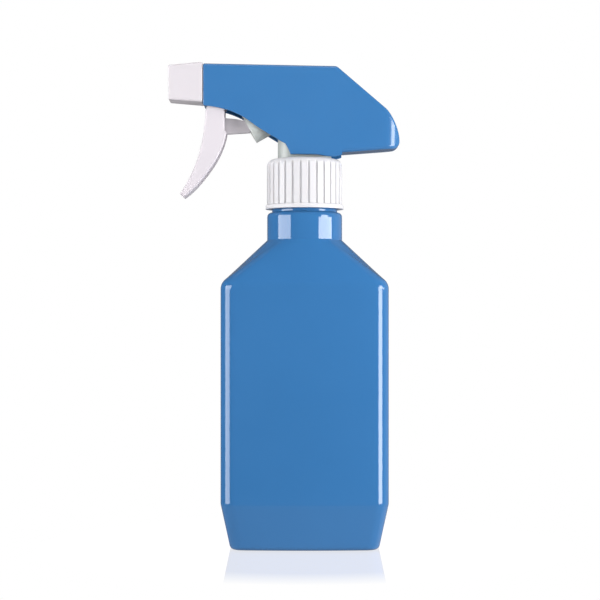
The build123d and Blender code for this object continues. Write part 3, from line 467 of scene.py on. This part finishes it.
blue = plastic("bottle_blue", (0.0225, 0.109, 0.268), (0.0245, 0.114, 0.278), 0.07, 0.02, wave=0.10)
shroud_blue = plastic("shroud_blue", (0.0245, 0.116, 0.283), (0.0265, 0.122, 0.294), 0.16, 0.03,
                      grain=0.03)
cap_white = plastic("cap_white", (0.47, 0.465, 0.485), (0.49, 0.485, 0.505), 0.48, 0.04,
                    grain=0.10, subsurface=0.3)
trigger_white = plastic("trigger_white", (0.465, 0.438, 0.47), (0.485, 0.452, 0.485), 0.36, 0.05,
                        grain=0.1)
nozzle_white = plastic("nozzle_white", (0.463, 0.44, 0.467), (0.482, 0.454, 0.481), 0.34, 0.05,
                       grain=0.1, subsurface=0.15)
natural = plastic("pump_natural", (0.375, 0.395, 0.385), (0.35, 0.375, 0.365), 0.38, 0.06,
                  grain=0.15, subsurface=0.4)
piston_white = plastic("piston_white", (0.75, 0.75, 0.74), (0.70, 0.70, 0.70), 0.40, 0.05)
tube_clear = plastic("tube_clear", (0.68, 0.72, 0.72), (0.72, 0.75, 0.75), 0.25, 0.05)
gasket_grey = plastic("gasket_grey", (0.36, 0.36, 0.36), (0.32, 0.32, 0.32), 0.7, 0.08, grain=0.3)
seal_grey = plastic("seal_grey", (0.05, 0.05, 0.05), (0.07, 0.07, 0.07), 0.5, 0.08, grain=0.2)
steel = metal("spring_steel", (0.55, 0.55, 0.57), 0.3)
ball = metal("ball_steel", (0.7, 0.7, 0.72), 0.12)

looks = {
    "bottle": blue,
    "neck_gasket": gasket_grey,
    "closure_cap": cap_white,
    "pump_body": natural,
    "tube_holder": natural,
    "dip_tube": tube_clear,
    "inlet_ball": ball,
    "shroud": shroud_blue,
    "trigger": trigger_white,
    "piston": piston_white,
    "piston_seal": seal_grey,
    "vent_seal": seal_grey,
    "return_spring": steel,
    "outlet_valve": piston_white,
    "outlet_spring": steel,
    "swirl_insert": piston_white,
    "nozzle": nozzle_white,
    "nozzle_seal": seal_grey,
    "bore_plug": natural,
}
for node, material in looks.items():
    wear(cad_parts[node], material)

# ---------------------------------------------------------------- pieces that replace CAD nodes
bottle = make_bottle()
wear(bottle, blue)
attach(bottle, "bottle")
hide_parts("bottle")

# In the pump the return spring shortens as the piston goes in, held at its far end, and the outlet spring
# shortens as the valve opens, held at its start. Here both are built at rest only and attached to the head.
cylinder_axis = np.array([math.cos(CYLINDER_TILT), 0, math.sin(CYLINDER_TILT)])
return_spring_start = CYLINDER_MOUTH + RETURN_SPRING_DEPTH * cylinder_axis
for name, start, direction, coil, joint, travel, held_at_start in (
    ("return_spring", return_spring_start, cylinder_axis, RETURN_COIL, "piston_slide", PISTON_TRAVEL, False),
    ("outlet_spring", OUTLET_SPRING_START, (1, 0, 0), OUTLET_COIL, "outlet_valve_lift", VALVE_TRAVEL, True),
):
    spring = make_spring(name + "_coil", start, direction, *coil)
    wear(spring, steel)
    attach(spring, "head")
    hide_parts(name)
    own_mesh(spring)


# ---------------------------------------------------------------- lights
def area_light(name, place, aim, width, height, power):
    """Rectangular light at a place, turned towards a point."""
    light = bpy.data.lights.new(name, "AREA")
    light.shape = "RECTANGLE"
    light.size = width
    light.size_y = height
    light.energy = power
    lamp = bpy.data.objects.new(name, light)
    bpy.context.scene.collection.objects.link(lamp)
    lamp.visible_camera = False
    lamp.location = place
    lamp.rotation_euler = (Vector(aim) - Vector(place)).to_track_quat("-Z", "Y").to_euler()
    return lamp


def softbox(name, near_turn, far_turn, low, high, radiance):
    """Upright softbox between two directions, in degrees round the bottle from the camera's side."""
    edges = []
    for turn in (near_turn, far_turn):
        angle = math.radians(turn)
        edges.append(Vector((math.sin(angle), -math.cos(angle), 0)) * SOFTBOX_DISTANCE)
    width = (edges[1] - edges[0]).length
    middle = (edges[0] + edges[1]) / 2 + Vector((0, 0, (low + high) / 2))
    power = radiance * math.pi * width * (high - low)
    area_light(name, middle, (0, 0, middle.z), width, high - low, power)


# The softboxes make the upright highlights on the bottle's corners, its collar and the shroud.
softbox("left_low", -53, -88, -0.10, 0.15, 6.6)
softbox("right_low", 44, 72, -0.10, 0.15, 12)
softbox("left_high", -43, -89, 0.15, 0.36, 8)
softbox("right_high", 43, 91, 0.15, 0.215, 12)
softbox("right_top", 52, 76, 0.215, 0.36, 12)
area_light("overhead", (0, -0.1, 0.9), (0, 0, 0.1), 0.5, 0.5, 1.5)
# The fills are broad light that reaches into the recesses but leaves no highlight.
for name, place, aim, width, height, power in (
    ("fill", (0.0, -1.0, 0.2), (0, 0, 0.11), 1.2, 0.9, 5.0),
    ("side_fill", (0.20, -0.16, 0.13), (0, 0, 0.12), 0.15, 0.25, 0.25),
    ("left_fill", (-0.5, -0.2, 0.45), (0, 0, 0.14), 0.4, 0.4, 1.4),
    ("right_fill", (0.5, -0.15, 0.45), (0, 0, 0.14), 0.4, 0.4, 0.9),
    ("back_fill", (0.2, 1.0, 0.4), (0, 0, 0.11), 1.2, 0.9, 11.0),
):
    lamp = area_light(name, place, aim, width, height, power)
    lamp.visible_glossy = False


# ---------------------------------------------------------------- floor
def set_piece(name, vertices, faces, material):
    """New object of the set, from vertices in metres, that gives no diffuse light and casts no shadow."""
    mesh = bpy.data.meshes.new(name)
    mesh.from_pydata(vertices, [], faces)
    mesh.materials.append(material)
    piece = bpy.data.objects.new(name, mesh)
    bpy.context.scene.collection.objects.link(piece)
    piece.visible_diffuse = False
    piece.visible_shadow = False
    return piece


def blended_material(name, first, second):
    """New material that blends two shader nodes: its nodes, its links and the blend."""
    material, nodes, links, principled = shader(name)
    nodes.remove(principled)
    blend = nodes.new("ShaderNodeMixShader")
    links.new(nodes.new(first).outputs[0], blend.inputs[1])
    links.new(nodes.new(second).outputs[0], blend.inputs[2])
    links.new(blend.outputs["Shader"], nodes["Material Output"].inputs["Surface"])
    return material, nodes, links, blend


# The floor is a white sheet that only the camera sees. It mirrors the foot faintly, and less with distance.
floor_look, nodes, links, blend = blended_material(
    "floor_white", "ShaderNodeEmission", "ShaderNodeBsdfGlossy")
sheen = blend.inputs[2].links[0].from_node
sheen.inputs["Roughness"].default_value = MIRROR_ROUGHNESS
sheen.inputs["Color"].default_value = MIRROR_COLOUR
place = nodes.new("ShaderNodeTexCoord")
distance = nodes.new("ShaderNodeVectorMath")
distance.operation = "LENGTH"
links.new(place.outputs["Object"], distance.inputs[0])
mirror = ramp(nodes, links, distance.outputs["Value"], MIRROR_NEAR, MIRROR_FAR, MIRROR_SHARE, 0)
links.new(mirror, blend.inputs["Fac"])
floor_corners = [(x * FLOOR_HALF, y * FLOOR_HALF, 0) for x, y in ((-1, -1), (1, -1), (1, 1), (-1, 1))]
floor = set_piece("floor", floor_corners, [(0, 1, 2, 3)], floor_look)
floor.visible_glossy = False
floor.visible_transmission = False

# A white ring round the foot that only the floor's mirror sees: it shines where a ray started on the
# floor, and is clear to all others. A ray's start is the point it hit plus its length the way it came.
card_look, nodes, links, blend = blended_material(
    "card_white", "ShaderNodeBsdfTransparent", "ShaderNodeEmission")
hit = nodes.new("ShaderNodeNewGeometry")
path = nodes.new("ShaderNodeLightPath")
way_back = nodes.new("ShaderNodeVectorMath")
way_back.operation = "SCALE"
links.new(hit.outputs["Incoming"], way_back.inputs[0])
links.new(path.outputs["Ray Length"], way_back.inputs["Scale"])
ray_start = nodes.new("ShaderNodeVectorMath")
links.new(hit.outputs["Position"], ray_start.inputs[0])
links.new(way_back.outputs["Vector"], ray_start.inputs[1])
start_parts = nodes.new("ShaderNodeSeparateXYZ")
links.new(ray_start.outputs["Vector"], start_parts.inputs["Vector"])
links.new(ramp(nodes, links, start_parts.outputs["Z"], *FLOOR_START, 1, 0), blend.inputs["Fac"])
ring_vertices = []
ring_faces = []
for side in range(RING_SIDES):
    angle = 2 * math.pi * side / RING_SIDES
    following = (side + 1) % RING_SIDES
    for height in (RING_BOTTOM, RING_TOP):
        ring_vertices.append((RING_RADIUS * math.cos(angle), RING_RADIUS * math.sin(angle), height))
    ring_faces.append((2 * side, 2 * following, 2 * following + 1, 2 * side + 1))
card = set_piece("card", ring_vertices, ring_faces, card_look)
card.visible_camera = False

# ---------------------------------------------------------------- surroundings
# They are white to the camera. The bottle sees a dim room, brighter at its right rear and below.
world = bpy.data.worlds.new("studio")
world.use_nodes = True
bpy.context.scene.world = world
air, air_links = world.node_tree.nodes, world.node_tree.links
towards = air.new("ShaderNodeTexCoord")
parts = air.new("ShaderNodeSeparateXYZ")
air_links.new(towards.outputs["Generated"], parts.inputs["Vector"])
behind = ramp(air, air_links, parts.outputs["Y"], *BEHIND, 0, 1)
beside = ramp(air, air_links, parts.outputs["X"], *BESIDE, 0, 1)
wall = air.new("ShaderNodeMath")
wall.operation = "MULTIPLY"
air_links.new(behind, wall.inputs[0])
air_links.new(beside, wall.inputs[1])
below = ramp(air, air_links, parts.outputs["Z"], *BELOW, ROOM_BELOW, 0)
strength = air.new("ShaderNodeMath")
air_links.new(ramp(air, air_links, wall.outputs["Value"], 0, 1, ROOM_DIM, ROOM_BRIGHT), strength.inputs[0])
air_links.new(below, strength.inputs[1])
room = air["Background"]
room.inputs["Color"].default_value = WHITE
air_links.new(strength.outputs["Value"], room.inputs["Strength"])
backdrop = air.new("ShaderNodeBackground")
backdrop.inputs["Color"].default_value = WHITE
seen = air.new("ShaderNodeLightPath")
choose = air.new("ShaderNodeMixShader")
air_links.new(seen.outputs["Is Camera Ray"], choose.inputs["Fac"])
air_links.new(room.outputs["Background"], choose.inputs[1])
air_links.new(backdrop.outputs["Background"], choose.inputs[2])
air_links.new(choose.outputs["Shader"], air["World Output"].inputs["Surface"])

# ---------------------------------------------------------------- camera
camera_data = bpy.data.cameras.new("camera")
camera = bpy.data.objects.new("camera", camera_data)
bpy.context.scene.collection.objects.link(camera)
camera.location = CAMERA_PLACE
camera.rotation_euler = (math.radians(90), 0, 0)
camera_data.lens = CAMERA_LENS
camera_data.sensor_width = CAMERA_SENSOR
camera_data.shift_y = CAMERA_SHIFT
bpy.context.scene.camera = camera
bpy.context.scene.view_settings.view_transform = "Standard"
